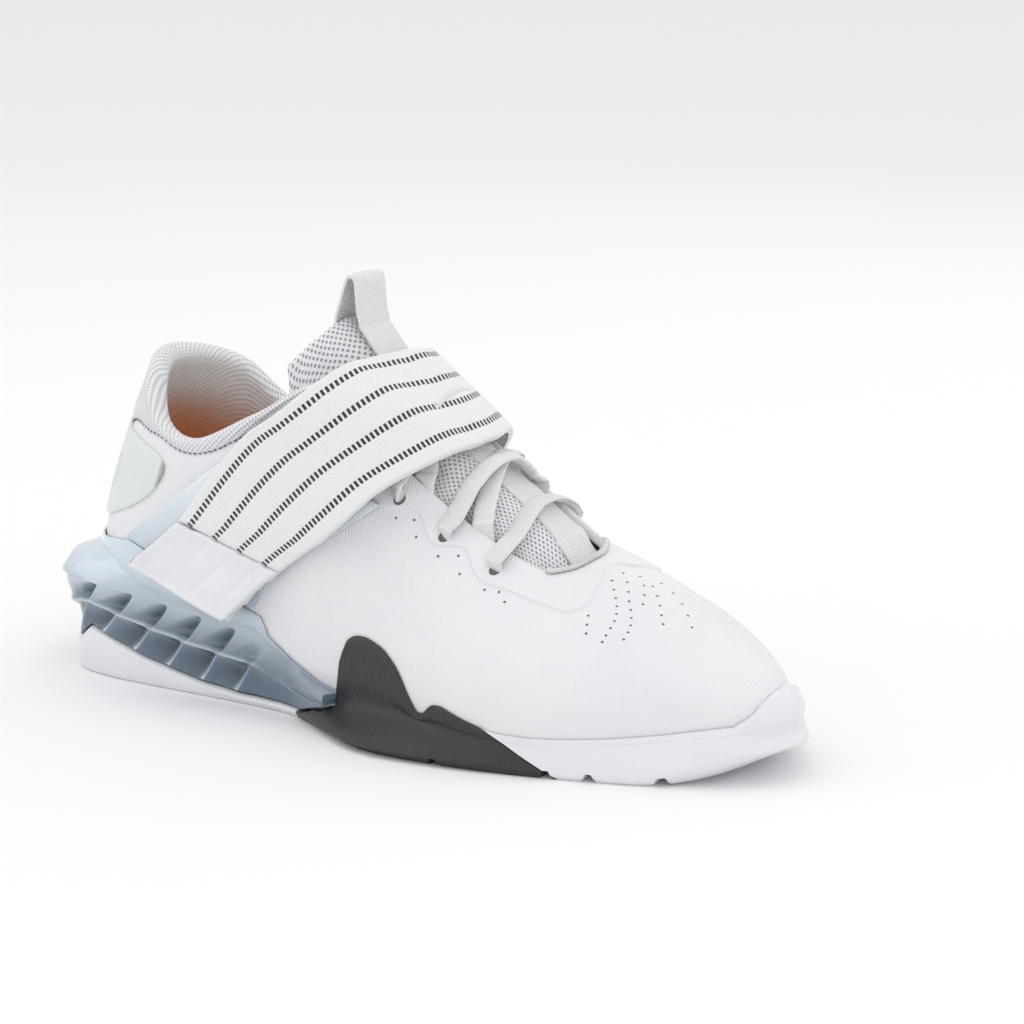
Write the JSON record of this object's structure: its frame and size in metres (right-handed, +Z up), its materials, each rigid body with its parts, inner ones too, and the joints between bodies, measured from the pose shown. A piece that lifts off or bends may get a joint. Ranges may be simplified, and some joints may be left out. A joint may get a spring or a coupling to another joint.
{
  "type": "weightlifting shoe",
  "caption": "Low weightlifting shoe, right foot: raised moulded heel, wide instep strap, flat laces, padded mesh tongue with pull loop.",
  "frame": {"origin": "middle of the heel's flat ground contact", "axes": "+X to the toe along the shoe's length, +Y to the medial side, +Z up from the floor"},
  "size_m": [0.2995, 0.1069, 0.1548],
  "materials": {
    "white_upper": "smooth white synthetic with a fine vertical grain",
    "white_rubber": "semi-matt white rubber",
    "charcoal_rubber": "ribbed charcoal rubber with glossy ledges",
    "blue_wedge": "glossy translucent blue-grey",
    "heel_film": "thin satin film",
    "tongue_mesh": "padded spacer mesh",
    "strap_weave": "fine-ribbed woven webbing",
    "cap_plastic": "smooth moulded end",
    "lace_white": "flat woven lace",
    "insole_tan": "brushed sock liner"
  },
  "bodies": {
    "root": {"forefoot_outsole": "white_rubber", "heel_outsole": "white_rubber", "midfoot_saddle": "charcoal_rubber", "heel_wedge": "blue_wedge", "heel_wing": "blue_wedge", "heel_badge": "heel_film", "upper": "white_upper", "insole": "insole_tan", "tongue": "tongue_mesh", "tongue_ribbon": "strap_weave", "pull_loop": "strap_weave", "strap": "strap_weave", "strap_cap": "cap_plastic", "lace_bar": "lace_white", "lace_cross_1": "lace_white", "lace_cross_2": "lace_white"}
  },
  "joints": []
}
